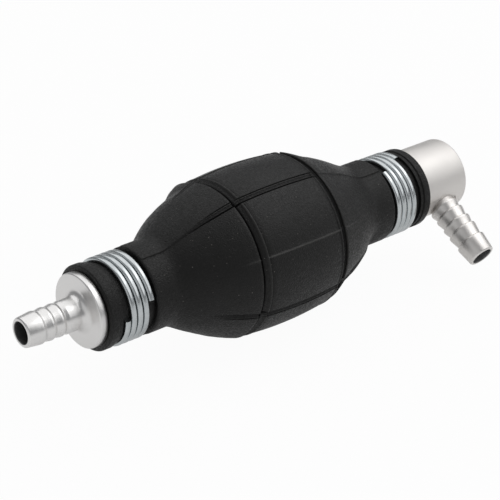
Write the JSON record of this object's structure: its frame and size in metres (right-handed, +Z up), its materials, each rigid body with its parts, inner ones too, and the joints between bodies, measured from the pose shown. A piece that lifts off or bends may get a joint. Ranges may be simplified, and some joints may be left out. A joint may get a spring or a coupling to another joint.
{
  "type": "siphon bulb pump",
  "caption": "Hand-squeezed rubber bulb pump for a fuel hose, wire-clamped onto a straight and an angled aluminium hose tail, with a sprung one-way valve at each end.",
  "frame": {"origin": "middle of the bulb, on the pump's long axis, where a hand squeezes it", "axes": "+X along the pump from the inlet to the outlet, +Z up, through the bulb's top panel; the angled outlet tail points to -Y and down"},
  "size_m": [0.1554, 0.0525, 0.0476],
  "materials": {
    "rubber": "satin",
    "aluminium": "satin",
    "zinc_wire": "bright",
    "spring_steel": "satin",
    "acetal": "satin",
    "seal": "matt"
  },
  "bodies": {
    "pump": {"bulb": "rubber", "inlet_fitting": "aluminium", "outlet_body": "aluminium", "outlet_barb": "aluminium", "inlet_clamp": "zinc_wire", "outlet_clamp": "zinc_wire", "outlet_seat": "aluminium", "outlet_seat_seal": "seal", "inlet_spring": "spring_steel", "outlet_spring": "spring_steel", "inlet_guide": "acetal", "outlet_guide": "acetal", "inlet_snap_ring": "spring_steel", "outlet_snap_ring": "spring_steel"},
    "inlet_valve": {"inlet_poppet": "acetal", "inlet_poppet_seal": "seal"},
    "outlet_valve": {"outlet_poppet": "acetal", "outlet_poppet_seal": "seal"}
  },
  "joints": [
    {"name": "inlet_valve_lift", "type": "slide", "parent": "pump", "child": "inlet_valve", "axis": [1, 0, 0], "range_m": [0, 0.002], "stiffness_N_per_m": 60, "springref_m": -0.002, "deforming": ["inlet_spring"]},
    {"name": "outlet_valve_lift", "type": "slide", "parent": "pump", "child": "outlet_valve", "axis": [1, 0, 0], "range_m": [0, 0.002], "stiffness_N_per_m": 60, "springref_m": -0.002, "deforming": ["outlet_spring"]}
  ]
}
